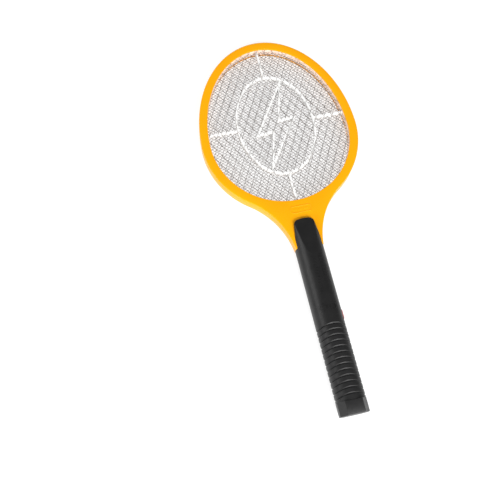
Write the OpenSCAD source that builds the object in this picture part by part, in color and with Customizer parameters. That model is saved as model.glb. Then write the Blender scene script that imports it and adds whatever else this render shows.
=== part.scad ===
// Battery fly swatter: an oval three-layer grid head on a straight round handle.
// X runs across the racket, Y along it towards the tip, Z up through its thickness.
// It lies on its back, with the origin under the middle of its outline, on the resting surface.

/* [Head] */
// Half width of the grid opening at its widest line
open_a = 80.7; // [70:0.1:90]
// From the widest line of the opening up to its top
open_up = 117; // [100:1:130]
// From the widest line of the opening down to its bottom
open_down = 84; // [75:1:95]
// How far the widest line lies below the crossing of the spokes
egg_drop = 15.3; // [8:0.1:20]
// Width of the oval frame band, seen from the front
band = 9.9; // [7:0.1:13]
// Thickness of each frame shell, from the parting plane to its face
ring_h = 7; // [6.5:0.1:9]
// Wall thickness of the frame shells
frame_wall = 2; // [1.5:0.1:2.5]

/* [Throat] */
// Radius of the concave edges that lead from the head to the handle
throat_r = 90; // [89:0.5:91]
// Width of the throat at its narrowest line
throat_w = 29.6; // [29.4:0.1:30]
// Distance from the crossing of the spokes to the front end of the handle
neck_y = 155; // [145:1:160]
// Width of the neck block inside the handle
neck_w = 21; // [18:0.5:22]

/* [Grid] */
// Thickness of each grid layer
mesh_t = 0.25; // [0.2:0.05:0.6]
// How far each grid layer reaches under the frame
mesh_lap = 3.5; // [2:0.1:3.6]
// Width of the rim of each spacer
rim_w = 4; // [2:0.1:5]
// Width of the spacer's ribs
rib_w = 2.2; // [1.5:0.1:3]
// Half width of the oval rib
oval_a = 44.5; // [35:0.5:55]
// Half height of the oval rib
oval_b = 63.7; // [50:0.5:72]

/* [Handle] */
// Distance from the crossing of the spokes to the end of the handle
handle_end = 333.8; // [320:0.1:345]
// Radius of the handle
grip_r = 15.5; // [15:0.1:17]
// Half thickness of the handle across its two flats
flat_h = 14.5; // [14:0.1:15]
// Wall thickness of the handle shells
wall = 2; // [1.6:0.1:2.4]
// Distance from the crossing of the spokes to the tip of the thumb rest
tongue_y = 124.9; // [118:0.1:130]
// Width of the thumb rest at its tip
tongue_w = 21.2; // [18:0.1:24]
// Slope of the thumb rest, in degrees
facet_deg = 5.5; // [4:0.1:7]
// Distance from the crossing of the spokes to the low end of the thumb rest
facet_y = 165.4; // [160:0.1:170]
// Length of the prismatic end section
end_l = 13.8; // [10:0.1:16]
// Half width of the flat on the end section
end_flat = 9; // [7:0.1:10]

/* [Grip grooves] */
// Number of grooves
groove_n = 13; // [8:1:14]
// Distance between grooves
groove_pitch = 5.93; // [5:0.01:6.1]
// Groove depth
groove_d = 0.8; // [0.4:0.1:1.2]
// Groove width
groove_w = 1.6; // [1:0.1:3]
// Height of a groove's arch, seen from the front
groove_arch = 3.9; // [2:0.1:6]

/* [Batteries and door] */
// Radius of a battery
cell_r = 7.15; // [7:0.05:7.25]
// Length of a battery
cell_l = 50.5; // [49:0.1:50.5]
// Height of the batteries' axis below the parting plane
cell_drop = 3.2; // [2.5:0.1:3.5]
// Height of the door's edges below the parting plane
door_edge = 9.6; // [9.4:0.1:10]
// Running clearance around the door
door_gap = 0.15; // [0.1:0.05:0.2]

/* [Push button] */
// Distance from the crossing of the spokes to the middle of the button
button_y = 233; // [231:0.5:234]
// Length of the button
button_l = 11.6; // [9:0.1:12]
// Height of the button
button_h = 5.6; // [4:0.1:6]
// Travel of the button
button_travel = 1; // [0.6:0.1:1]

/* [Screws] */
// Radius of a screw's shank
screw_r = 1.2; // [1:0.05:1.3]
// Radius of a screw's head
screw_head_r = 2.6; // [2.2:0.1:2.7]
// Height of a screw's head
screw_head_h = 1.6; // [1.2:0.1:1.8]

/* [Hidden] */

egg_n = 72;                       // points round each oval outline
arc_n = 96;                       // facets of round features
tiny = 0.05;                      // assembly clearance
far = 200;                        // larger than any section

head_top = open_up + band - egg_drop;
head_y = (handle_end - head_top) / 2;
mid_z = flat_h;

flange_z = ring_h - frame_wall;   // underside of the frame's face
mesh_z = flange_z - 0.2 - mesh_t; // underside of the front grid layer
spacer_lo = 0.3;
spacer_hi = mesh_z - 0.15;
tab_x = 9;                        // sideways place of the outer grid tabs
tab_w = 6;
tab_end = 110;

throat_meet = [52, 92.2];         // where the throat's edges run into the oval
throat_waist = 165.1;             // where the throat is narrowest, inside the handle
throat_screw_at = [22, -106];
throat_screw_seat = 4.6;          // depth of the seat below the parting plane
throat_screw_l = 8;
boss_r = 3.4;

neck_end = 168.5;
neck_h = 6;
neck_wall = 2;
bulkhead_y = 221.3;
bulkhead_t = 1.8;
end_wall = 2.5;
handle_screw_y = [173, 217.3];
handle_boss_r = 4;
handle_screw_seat = 8;
handle_screw_l = 16;
grooves_start = 241.5;

cells_top = bulkhead_y + bulkhead_t / 2 + 0.45;
nub_r = 2.7;
nub_h = 1.3;
door_top = bulkhead_y + bulkhead_t / 2;
rail_x = 8.5;
rail_t = 0.9;
rail_z = 6.5;
rail_reach = 12.2;

button_out = 16.4;                // outer face of the button
button_in = 11.6;                 // inner face of its collar
button_fit = 0.2;                 // play all round the button in its slot
collar_t = 1;
switch_face = button_in - button_travel - 0.2;
switch_hold_x = 6.7;              // inner side of the clips that hold the switch's board
switch_hold_y = 8.1;              // from the middle of the button to the middle of each clip
saddle_y = [252, 268, 282, 298, 312];
saddle_w = 18;
saddle_t = 1.6;
front_boss_r = 3;
switch_back = 8.35;
plunger_r = 1.7;
plunger_l = 2;

board_y = [213, 177.6];
board_w = 18;
board_z = -3.6;
board_t = 1.6;
board_top = board_z + board_t;

// Round number routes of the leads, chosen by hand.
front_route = [[-9, -113, 3.4], [-8, -122, 1.5], [-6.5, -135, 0.2], [-6, -150, -0.2],
    [-6, -166, -0.6], [-6, -176, -0.8], [-6, -182, -1.3]];
centre_route = [[0, -113, -1.3], [1.5, -122, -1.2], [4, -135, -0.8], [5.2, -150, -0.5],
    [5.2, -166, -0.5], [5.2, -176, -0.7], [5.2, -182, -1.3]];
back_route = [[9, -113, -3.3], [8.4, -122, -3], [7.6, -135, -2.6], [7.1, -150, -2.3],
    [7.1, -166, -1.6], [7.1, -176, -1], [7.1, -182, -1.3]];
positive_route = [[-7.2, -221.5, 2], [-7.2, -218, 2], [-7.4, -214, 0.8], [-7.4, -210, -1.3]];
negative_route = [[-5.5, -330.1, 5], [-8.5, -328, 5.3], [-10.3, -322, 5.5], [-10.5, -300, 5.5],
    [-10.5, -270, 5.5], [-10.5, -240, 5.5], [-10.5, -222, 5.5], [-10, -215, 4.5],
    [-8.2, -209, 1.5], [-8, -206, -1.3]];
switch_routes = [
    [[9.1, -228.5, 3.2], [9.6, -225, 5], [9.8, -221, 6], [9, -216, 4], [7.6, -210, 0.6], [7.6, -207, -1.3]],
    [[9.1, -228.5, -2.6], [10.2, -225, -2.4], [10.6, -221, -2], [9.9, -216, -1.2], [9.9, -212, 0.5],
        [8.2, -205, 0.2], [7.6, -202, -1.3]]
];

// Puts a piece drawn about the crossing of the spokes into the part's own frame.
module place() translate([0, head_y, mid_z]) children();

// Points of the head's oval, grown outwards by d: two half ellipses that meet at the widest line.
function egg(d) = [for (i = [0:egg_n - 1]) let (t = 360 * i / egg_n)
    [(open_a + d) * cos(t), -egg_drop + (sin(t) > 0 ? open_up + d : open_down + d) * sin(t)]];

function ellipse_points(a, b) = [for (i = [0:egg_n - 1]) let (t = 360 * i / egg_n) [a * cos(t), b * sin(t)]];

module slab(z0, z1) translate([0, 0, z0]) linear_extrude(z1 - z0) children();

// Throat between the head and the handle, inset by d.
module throat_2d(d) {
    difference() {
        translate([-throat_meet[0], -neck_y]) square([2 * throat_meet[0], neck_y - throat_meet[1]]);
        for (s = [-1, 1])
            translate([s * (throat_w / 2 + throat_r), -throat_waist]) circle(throat_r + d, $fn = 180);
        polygon(egg(0));
    }
}

module head_2d(d) {
    difference() {
        union() {
            polygon(egg(band - d));
            throat_2d(d);
        }
        translate([-far, -neck_y - far]) square([2 * far, far + 0.001]);
    }
}

module ring_2d(d0, d1) difference() {
    polygon(egg(d1));
    polygon(egg(d0));
}

// One frame shell, drawn as the front one: a face with an outer wall, hollow behind.
module frame_shell() {
    difference() {
        union() {
            difference() {
                union() {
                    slab(0, ring_h - 2.2) head_2d(0);
                    slab(ring_h - 2.2, ring_h - 0.9) head_2d(0.5);
                    slab(ring_h - 0.9, ring_h) head_2d(1.6);
                }
                slab(-1, ring_h + 1) polygon(egg(0));
                slab(-1, flange_z) difference() {
                    head_2d(frame_wall);
                    translate([-far, -neck_y - 1]) square([2 * far, 1 + frame_wall]);
                }
            }
            for (s = [-1, 1])
                translate([s * throat_screw_at[0], throat_screw_at[1], 0])
                    cylinder(h = flange_z + 0.5, r = boss_r, $fn = arc_n);
            translate([-neck_w / 2, -neck_end, 0]) cube([neck_w, neck_end - neck_y + 1, neck_h]);
        }
        translate([-neck_w / 2 + neck_wall, -neck_end - 1, -1])
            cube([neck_w - 2 * neck_wall, neck_end - neck_y + 4 + frame_wall, neck_h - neck_wall + 1]);
    }
}

module frame_front() {
    color("gold") place() difference() {
        frame_shell();
        for (s = [-1, 1])
            translate([s * throat_screw_at[0], throat_screw_at[1], -1])
                cylinder(h = 5, r = screw_r + tiny, $fn = arc_n);
    }
}

module frame_back() {
    color("gold") place() difference() {
        mirror([0, 0, 1]) frame_shell();
        for (s = [-1, 1])
            translate([s * throat_screw_at[0], throat_screw_at[1], -ring_h - 1]) {
                cylinder(h = ring_h + 2, r = screw_r + 0.15, $fn = arc_n);
                cylinder(h = ring_h + 1 - throat_screw_seat, r = screw_head_r + 0.3, $fn = arc_n);
            }
    }
}

// One layer of the grid, with the tab that its lead is joined to.
module grid_layer(z, x) {
    color("silver") place() slab(z, z + mesh_t) union() {
        polygon(egg(mesh_lap));
        translate([x - tab_w / 2, -tab_end]) square([tab_w, 20]);
    }
}

module mesh_front() grid_layer(mesh_z, -tab_x);
module mesh_centre() grid_layer(-mesh_t / 2, 0);
module mesh_back() grid_layer(-mesh_z - mesh_t, tab_x);

module bar_2d(p, q, w) {
    v = q - p;
    translate(p) rotate(atan2(v[1], v[0])) translate([0, -w / 2]) square([norm(v), w]);
}

// Corners of the lightning bolt, from its upper tip round to its lower tip and back.
bolt = [[19.4, 58.5], [-25.5, -11.7], [-6.1, -10.7], [-18.2, -58.5], [24.8, 5.6], [6.1, 5.4]];

// Corners of a polygon moved inwards by d, each where its two moved edges cross.
function inset(p, d) = [for (i = [0:len(p) - 1]) let (
    u = unit(p[i] - p[(i + len(p) - 1) % len(p)]),
    v = unit(p[(i + 1) % len(p)] - p[i]))
    p[i] + (v - u) * d / (u[0] * v[1] - u[1] * v[0])];

// The pattern of a spacer: a rim, four spokes, an oval and a lightning bolt.
module spacer_2d() {
    ring_2d(0, rim_w);
    difference() {
        polygon(ellipse_points(oval_a + rib_w / 2, oval_b + rib_w / 2));
        polygon(ellipse_points(oval_a - rib_w / 2, oval_b - rib_w / 2));
    }
    for (s = [-1, 1]) bar_2d([s * oval_a, 0], [s * (open_a + 1), 0], rib_w);
    bar_2d([0, oval_b], [0, open_up - egg_drop + 1], rib_w);
    bar_2d([0, -oval_b], [0, -open_down - egg_drop - 1], rib_w);
    intersection() {
        difference() {
            polygon(bolt);
            polygon(inset(bolt, rib_w));
        }
        polygon(ellipse_points(oval_a, oval_b));
    }
}

module spacer_front() color("white") place() slab(spacer_lo, spacer_hi) spacer_2d();
module spacer_back() color("white") place() slab(-spacer_hi, -spacer_lo) spacer_2d();

// Section of the handle, inset by d: a circle with a flat at the front and at the back.
module grip_2d(d) intersection() {
    circle(grip_r - d, $fn = arc_n);
    square([4 * grip_r, 2 * (flat_h - d)], center = true);
}

// Section of the end: flat front and back with sloping flanks.
module end_2d() {
    side = grip_r - 0.3;
    polygon([[end_flat, flat_h], [side, 4], [side, -4], [end_flat, -flat_h],
        [-end_flat, -flat_h], [-side, -4], [-side, 4], [-end_flat, flat_h]]);
}

// Extrudes a section from y = -from to y = -to, both measured from the crossing of the spokes.
module along(from, to) translate([0, -to, 0]) rotate([90, 0, 0]) mirror([0, 0, 1])
    linear_extrude(to - from) children();

module half_space(z0, z1) translate([-far, -handle_end - far, z0]) cube([2 * far, 2 * far + handle_end, z1 - z0]);

// Outline of the thumb rest, seen from the front.
module tongue_2d() {
    r = 2.7;
    w = tongue_w / 2;
    difference() {
        polygon([[-w, -tongue_y], [w, -tongue_y], [grip_r, -neck_y - 1], [-grip_r, -neck_y - 1]]);
        for (s = [-1, 1]) translate([s * (w - r + 0.3), -tongue_y - r]) difference() {
            translate([s > 0 ? 0 : -2 * r, 0]) square([2 * r, 2 * r]);
            circle(r, $fn = arc_n);
        }
    }
}

// The grooves run over the whole section as arches, cut to a shallow depth.
module grooves() {
    arch_r = (grip_r * grip_r + groove_arch * groove_arch) / (2 * groove_arch);
    intersection() {
        for (i = [0:groove_n - 1])
            translate([0, -grooves_start - i * groove_pitch - arch_r, 0]) slab(-far / 4, far / 4)
                intersection() {
                    difference() {
                        circle(arch_r, $fn = 180);
                        circle(arch_r - groove_w, $fn = 180);
                    }
                    translate([-grip_r - 1, 0]) square([2 * grip_r + 2, arch_r + 1]);
                }
        along(grooves_start - 3, handle_end - end_l) difference() {
            grip_2d(-1);
            grip_2d(groove_d);
        }
    }
}

// Outside of the whole handle, both shells and the door together.
module handle_solid() {
    end_y = handle_end - end_l;
    difference() {
        union() {
            along(neck_y, end_y) grip_2d(0);
            along(end_y, handle_end) end_2d();
        }
        grooves();
    }
}

// Stadium section of the button, lying in the YZ plane and reaching from x0 to x1.
module button_bar(l, h, x0, x1) translate([x0, -button_y, 0]) rotate([90, 0, 90]) linear_extrude(x1 - x0) {
    square([l - h, h], center = true);
    for (s = [-1, 1]) translate([s * (l - h) / 2, 0]) circle(h / 2, $fn = arc_n);
}

module cavity() {
    along(neck_y + end_wall, bulkhead_y - bulkhead_t / 2) grip_2d(wall);
    along(bulkhead_y + bulkhead_t / 2, handle_end - end_wall) grip_2d(wall);
}

module neck_hole() translate([-neck_w / 2 - tiny, -neck_y - end_wall - 1, -neck_h - tiny])
    cube([neck_w + 2 * tiny, end_wall + 2, 2 * neck_h + 2 * tiny]);

// Passages for the leads through the wall at the head of the battery compartment.
module lead_holes() {
    y = -bulkhead_y - bulkhead_t;
    translate([-9, y, 0.5]) cube([3.4, 2 * bulkhead_t, 3]);
    translate([-11.8, y, 4.3]) cube([2.4, 2 * bulkhead_t, 2.4]);
    translate([8.6, y, 4.8]) cube([2.3, 2 * bulkhead_t, 2.4]);
    translate([9.6, y, -3.2]) cube([2.2, 2 * bulkhead_t, 2.3]);
}

// Thumb rest that lies over the throat.
module tongue() intersection() {
    slab(ring_h, flat_h + 1) tongue_2d();
    along(tongue_y - 1, neck_y + 1) grip_2d(0);
}

module facet_cut() translate([0, -facet_y, flat_h]) rotate([-facet_deg, 0, 0])
    translate([-far / 2, 0, 0]) cube([far, far, far / 4]);

module shell_common(lo, hi) difference() {
    union() {
        intersection() {
            difference() {
                handle_solid();
                cavity();
            }
            half_space(lo, hi);
        }
        children();
    }
    neck_hole();
    lead_holes();
    button_bar(button_l + 2 * button_fit, button_h + 2 * button_fit, grip_r - 4, grip_r + 1);
}

module screw_post(y, r, z0, z1) translate([0, -y, z0]) cylinder(h = z1 - z0, r = r, $fn = arc_n);

module handle_front() {
    color([0.13, 0.13, 0.13]) place() difference() {
        shell_common(0, far) {
            tongue();
            for (y = handle_screw_y) screw_post(y, front_boss_r, 0, flat_h - 1);
            // Saddles that hold the batteries down
            for (y = saddle_y) intersection() {
                translate([-saddle_w / 2, -y - saddle_t / 2, 0]) cube([saddle_w, saddle_t, flat_h - 1]);
                along(y - 1, y + 1) difference() {
                    grip_2d(1);
                    translate([0, -cell_drop]) circle(cell_r + 0.35, $fn = arc_n);
                }
            }
            // Clips that hold the switch board's ends
            for (s = [-1, 1]) translate([switch_hold_x, -button_y + s * switch_hold_y - 0.8, 0]) {
                cube([1.8, 1.6, 8]);
                translate([0, 0, 7.5]) cube([3, 1.6, 4.5]);
            }
        }
        facet_cut();
        for (y = handle_screw_y) translate([0, -y, -1]) cylinder(h = 10.2, r = screw_r + tiny, $fn = arc_n);
    }
}

// Space that the battery door and its rails take, grown by g for running clearance.
module door_space(g) {
    y0 = -handle_end - far;
    l = handle_end + far - door_top + g;
    translate([-far / 2, y0, -far / 2]) cube([far, l, far / 2 - door_edge + g]);
    for (s = [-1, 1]) {
        translate([s > 0 ? rail_x - g : -rail_x - rail_t - g, y0, -door_edge - 1.4])
            cube([rail_t + 2 * g, l, door_edge + 1.4 - rail_z + g]);
        translate([s > 0 ? rail_x - g : -rail_reach - g, y0, -rail_z - 1 - g])
            cube([rail_reach - rail_x + 2 * g, l, 1 + 2 * g]);
    }
}

module handle_back() {
    color([0.13, 0.13, 0.13]) place() difference() {
        union() {
            difference() {
                shell_common(-far, 0) {
                    mirror([0, 0, 1]) tongue();
                    for (y = handle_screw_y) screw_post(y, handle_boss_r, -flat_h + 1, 0);
                    // Posts that the circuit board rests on
                    for (x = [-6, 6], y = [183, 208])
                        translate([x, -y, -flat_h + 1]) cylinder(h = board_z + flat_h - 1, r = 1.6, $fn = arc_n);
                }
                door_space(door_gap);
            }
            // End wall inside the door's skin, notched for the rails
            difference() {
                intersection() {
                    along(handle_end - end_wall, handle_end) grip_2d(wall);
                    half_space(-far, -door_edge + 0.5);
                }
                difference() {
                    door_space(door_gap);
                    translate([-far / 2, -2 * far, -far / 2]) cube([far, 2 * far, far / 2 - door_edge + door_gap]);
                }
                for (s = [-1, 1]) translate([s > 0 ? rail_x - door_gap : -far, -2 * far, -flat_h])
                    cube([far - rail_x + door_gap, 2 * far, flat_h - rail_z]);
            }
        }
        for (y = handle_screw_y) translate([0, -y, -flat_h - 1]) {
            cylinder(h = flat_h + 2, r = screw_r + 0.15, $fn = arc_n);
            cylinder(h = flat_h + 1 - handle_screw_seat, r = screw_head_r + 0.3, $fn = arc_n);
        }
    }
}

module battery_door() {
    color([0.15, 0.15, 0.15]) place() union() {
        intersection() {
            difference() {
                handle_solid();
                along(door_top - 1, handle_end + 1) grip_2d(wall - door_gap);
            }
            translate([-far / 2, -handle_end - 1, -far / 2]) cube([far, handle_end + 1 - door_top, far / 2 - door_edge]);
        }
        for (s = [-1, 1]) {
            translate([s > 0 ? rail_x : -rail_x - rail_t, -handle_end, -door_edge - 1.25])
                cube([rail_t, handle_end - door_top, door_edge + 1.25 - rail_z]);
            translate([s > 0 ? rail_x : -rail_reach, -handle_end, -rail_z - 1])
                cube([rail_reach - rail_x, handle_end - door_top, 1]);
        }
    }
}

module push_button() {
    color([0.55, 0.05, 0.04]) place() union() {
        button_bar(button_l, button_h, button_in + collar_t / 2, button_out);
        button_bar(button_l + 2, button_h + 1.4, button_in, button_in + collar_t);
    }
}

module across(x0, x1, r) translate([x0, -button_y, 0]) rotate([0, 90, 0]) cylinder(h = x1 - x0, r = r, $fn = arc_n);

module switch_plunger() color("white") place() across(button_in - plunger_l, button_in, plunger_r);

module switch_body() {
    color("dimgray") place() difference() {
        translate([switch_back, -button_y - 3, -3]) cube([switch_face - switch_back, 6, 6]);
        across(switch_back + 0.2, switch_face + 1, plunger_r + tiny);
    }
}

module switch_board() color("darkgreen") place()
    translate([switch_back - 0.8, -button_y - 7, -4]) cube([0.8, 14, 9]);

module cell_at(y) {
    place() translate([0, -y, -cell_drop]) rotate([90, 0, 0]) {
        cylinder(h = nub_h + 1, r = nub_r, $fn = arc_n);
        translate([0, 0, nub_h]) cylinder(h = cell_l - nub_h, r = cell_r, $fn = arc_n);
    }
}

module battery_upper() color("orange") cell_at(cells_top);
module battery_lower() color("orange") cell_at(cells_top + cell_l);

// Frame of a tube that follows a list of points.
function unit(v) = v / norm(v);
function heading(p, i) = unit(p[min(i + 1, len(p) - 1)] - p[max(i - 1, 0)]);
function sideways(t) = unit(cross(t, abs(t[2]) < 0.9 ? [0, 0, 1] : [1, 0, 0]));
function smooth_at(p, i, u) = let (a = p[max(i - 1, 0)], b = p[i], c = p[i + 1], d = p[min(i + 2, len(p) - 1)])
    0.5 * (2 * b + (c - a) * u + (2 * a - 5 * b + 4 * c - d) * u * u + (3 * b - a - 3 * c + d) * u * u * u);
function smooth(p, k) = concat([for (i = [0:len(p) - 2], j = [0:k - 1]) smooth_at(p, i, j / k)], [p[len(p) - 1]]);

module tube(p, r, sides = 8) {
    n = len(p);
    pts = [for (i = [0:n - 1]) let (t = heading(p, i), s = sideways(t), w = cross(t, s))
        for (k = [0:sides - 1]) p[i] + r * (cos(360 * k / sides) * s + sin(360 * k / sides) * w)];
    skin = [for (i = [0:n - 2], k = [0:sides - 1])
        let (a = i * sides + k, b = i * sides + (k + 1) % sides) each [[a, b, b + sides], [a, b + sides, a + sides]]];
    polyhedron(pts, concat(skin, [[for (k = [sides - 1:-1:0]) k]], [[for (k = [0:sides - 1]) (n - 1) * sides + k]]));
}

// Conical coil that presses on the lower battery.
module battery_spring() {
    turns = 4;
    steps = 14;
    l = handle_end - end_wall - 0.45 - (cells_top + 2 * cell_l) - 1.1;
    y0 = -cells_top - 2 * cell_l - 0.55;
    path = [for (i = [0:turns * steps]) let (u = i / (turns * steps), r = 3 + 2.6 * u, a = 360 * turns * u)
        [r * cos(a), y0 - l * u, -cell_drop + r * sin(a)]];
    color("silver") place() tube(path, 0.45, 6);
}

module spring_plate() color("silver") place()
    translate([-7.5, -handle_end + end_wall, -9]) cube([15, 0.4, 15.5]);

module positive_contact() color("silver") place()
    translate([-8.2, -cells_top + tiny, -8.5]) cube([13.2, 0.35, 12]);

module circuit_board() color("darkgreen") place()
    translate([-board_w / 2, -board_y[0], board_z]) cube([board_w, board_y[0] - board_y[1], board_t]);

// Box on the circuit board, centred on x and -y.
module on_board(x, y, size) translate([x - size[0] / 2, -y - size[1] / 2, board_top]) cube(size);

module transformer_core() {
    color("dimgray") place() difference() {
        on_board(0, 200, [12, 13, 10]);
        translate([-7, -205, board_top + 2]) cube([14, 3, 6]);
        translate([-7, -198, board_top + 2]) cube([14, 3, 6]);
    }
}

module transformer_winding() {
    color("peru") place() union() {
        translate([-6.5, -204.9, board_top + 2.1]) cube([13, 2.8, 5.8]);
        translate([-6.5, -197.9, board_top + 2.1]) cube([13, 2.8, 5.8]);
    }
}

module transistor() {
    color([0.1, 0.1, 0.1]) place() translate([-4.5, -210, board_top + 2]) intersection() {
        cylinder(h = 4.6, r = 2.4, $fn = arc_n);
        translate([-3, -1, -1]) cube([6, 4, 7]);
    }
}

module storage_capacitor() color("darkred") place() on_board(0, 184.5, [9, 6, 9.5]);

module doubler_capacitors() color("royalblue") place() for (x = [-7, 7], y = [184, 189.5])
    translate([x - 1.4, -y, board_top + 3.4]) rotate([0, 90, 0]) cylinder(h = 2.2, r = 2.6, $fn = arc_n);

module axial(x, y, r, l) translate([x, -y + l / 2, board_top + r + 0.3]) rotate([90, 0, 0])
    cylinder(h = l, r = r, $fn = 32);

module diodes() color([0.15, 0.15, 0.15]) place() for (x = [-2.4, 2.4]) axial(x, 190.5, 1.1, 4.4);

module resistors() color("burlywood") place() for (x = [1.5, 4.5]) axial(x, 209.5, 1, 4.6);

// Eyelets crimped on the grid tabs.
module grid_terminals() color("goldenrod") place() {
    for (p = [[-tab_x, mesh_z - 0.5], [0, -mesh_t / 2 - 0.5], [tab_x, -mesh_z]])
        translate([p[0] - 1.8, -tab_end, p[1]]) cube([3.6, 5, 0.5]);
}

module lead(route) place() tube(smooth(route, 3), 0.6);

module grid_lead_front() color("red") lead(front_route);
module grid_lead_centre() color("white") lead(centre_route);
module grid_lead_back() color("red") lead(back_route);
module positive_lead() color("red") lead(positive_route);
module negative_lead() color("black") lead(negative_route);
module switch_leads() color("yellow") for (r = switch_routes) lead(r);

// Pan-head screw with its head's underside at z = 0 and its shank up to z = l.
module screw(l) {
    difference() {
        translate([0, 0, -screw_head_h]) cylinder(h = screw_head_h, r = screw_head_r, $fn = arc_n);
        for (a = [0, 90]) rotate(a) translate([-1.7, -0.35, -screw_head_h - 1]) cube([3.4, 0.7, 1.9]);
    }
    translate([0, 0, -0.2]) cylinder(h = l + 0.2, r = screw_r, $fn = arc_n);
}

module throat_screws() color("silver") place() for (s = [-1, 1])
    translate([s * throat_screw_at[0], throat_screw_at[1], -throat_screw_seat]) screw(throat_screw_l);

module handle_screws() color("silver") place() for (y = handle_screw_y)
    translate([0, -y, -handle_screw_seat]) screw(handle_screw_l);

frame_front();
frame_back();
mesh_front();
mesh_centre();
mesh_back();
spacer_front();
spacer_back();
handle_front();
handle_back();
battery_door();
push_button();
switch_plunger();
switch_body();
switch_board();
battery_upper();
battery_lower();
battery_spring();
spring_plate();
positive_contact();
circuit_board();
transformer_core();
transformer_winding();
transistor();
storage_capacitor();
doubler_capacitors();
diodes();
resistors();
grid_terminals();
grid_lead_front();
grid_lead_centre();
grid_lead_back();
positive_lead();
negative_lead();
switch_leads();
throat_screws();
handle_screws();
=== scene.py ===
import math

import bmesh
import bpy
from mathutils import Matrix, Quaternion, Vector


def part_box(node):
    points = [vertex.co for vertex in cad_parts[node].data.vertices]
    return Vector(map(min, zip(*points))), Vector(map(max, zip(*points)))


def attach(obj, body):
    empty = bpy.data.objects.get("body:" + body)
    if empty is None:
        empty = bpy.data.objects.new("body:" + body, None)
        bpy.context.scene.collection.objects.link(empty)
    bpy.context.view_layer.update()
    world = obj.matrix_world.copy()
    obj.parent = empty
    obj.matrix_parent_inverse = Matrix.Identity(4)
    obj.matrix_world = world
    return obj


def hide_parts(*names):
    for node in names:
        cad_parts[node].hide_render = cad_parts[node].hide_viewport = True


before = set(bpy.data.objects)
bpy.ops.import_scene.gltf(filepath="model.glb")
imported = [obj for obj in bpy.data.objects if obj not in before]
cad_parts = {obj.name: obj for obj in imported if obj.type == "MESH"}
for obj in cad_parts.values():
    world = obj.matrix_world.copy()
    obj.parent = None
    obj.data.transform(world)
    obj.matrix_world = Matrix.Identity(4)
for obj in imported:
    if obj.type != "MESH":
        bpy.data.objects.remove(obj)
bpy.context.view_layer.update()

# Sizes are in millimetres and are drawn about the crossing of the spokes, on the parting
# plane of the racket, with +Y towards the tip. solid() turns them into the frame's metres.
MM = 0.001
OPEN_A, OPEN_UP, OPEN_DOWN, EGG_DROP, BAND = 80.7, 117.0, 84.0, 15.3, 9.9
RING_H, FRAME_WALL = 7.0, 2.0
THROAT_R, THROAT_WAIST, THROAT_HALF_W = 90.0, 165.1, 14.8
THROAT_MEET_Y = -92.2
NECK_Y = -155.0
SPIGOT_W, SPIGOT_END, SPIGOT_T = 10.5, -168.5, 6.0   # half width, end and half thickness inside the handle
THROAT_SCREWS, THROAT_SEAT, HANDLE_SEAT = ((-22.0, -106.0), (22.0, -106.0)), -4.6, -8.0
THROAT_BOSS_R, SCREW_WELL_R, SCREW_HOLE_R = 3.9, 2.9, 1.35
TIP_Y = OPEN_UP + BAND - EGG_DROP
HUB_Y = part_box("frame_front")[1].y / MM - TIP_Y
MID_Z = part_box("frame_front")[0].z / MM

GRIP_A, GRIP_B, ROUNDNESS = 15.5, 14.5, 2.2     # half axes and fullness of the handle's section
HANDLE_END = (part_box("handle_front")[0].y / MM) - HUB_Y
END_START = HANDLE_END + 13.8
WALL = 2.0
FRONT_B = 14.05                 # the front stands this high, and its raised marks reach GRIP_B

scene = bpy.context.scene


# ---------------------------------------------------------------- camera, light and floor

def look_from(obj, place, target):
    obj.location = place
    obj.rotation_mode = "QUATERNION"
    obj.rotation_quaternion = (Vector(target) - Vector(place)).to_track_quat("-Z", "Y")


def direction(azimuth, elevation):
    """Unit vector towards the viewer; azimuth 0 looks along +Y."""
    a, e = math.radians(azimuth), math.radians(elevation)
    return Vector((math.sin(a) * math.cos(e), -math.cos(a) * math.cos(e), math.sin(e)))


def make_camera():
    data = bpy.data.cameras.new("camera")
    camera = bpy.data.objects.new("camera", data)
    scene.collection.objects.link(camera)
    data.lens, data.sensor_width = 48.74, 36.0
    data.shift_x, data.shift_y = 0.0543, -0.0128
    data.clip_start, data.clip_end = 0.05, 20
    aim = Vector((-0.0985, -0.0091, 0.0215))
    azimuth, elevation, distance, roll = -11.98, 69.84, 0.7048, 0.24
    look_from(camera, aim + direction(azimuth, elevation) * distance, aim)
    camera.rotation_quaternion @= Quaternion((0, 0, 1), math.radians(roll))
    scene.camera = camera


def softbox(name, azimuth, elevation, distance, size, watts):
    """Square light that looks at the middle of the racket."""
    data = bpy.data.lights.new(name, "AREA")
    data.shape, data.size, data.energy = "SQUARE", size, watts
    light = bpy.data.objects.new(name, data)
    scene.collection.objects.link(light)
    look_from(light, direction(azimuth, elevation) * distance, (0, 0, 0))


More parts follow.
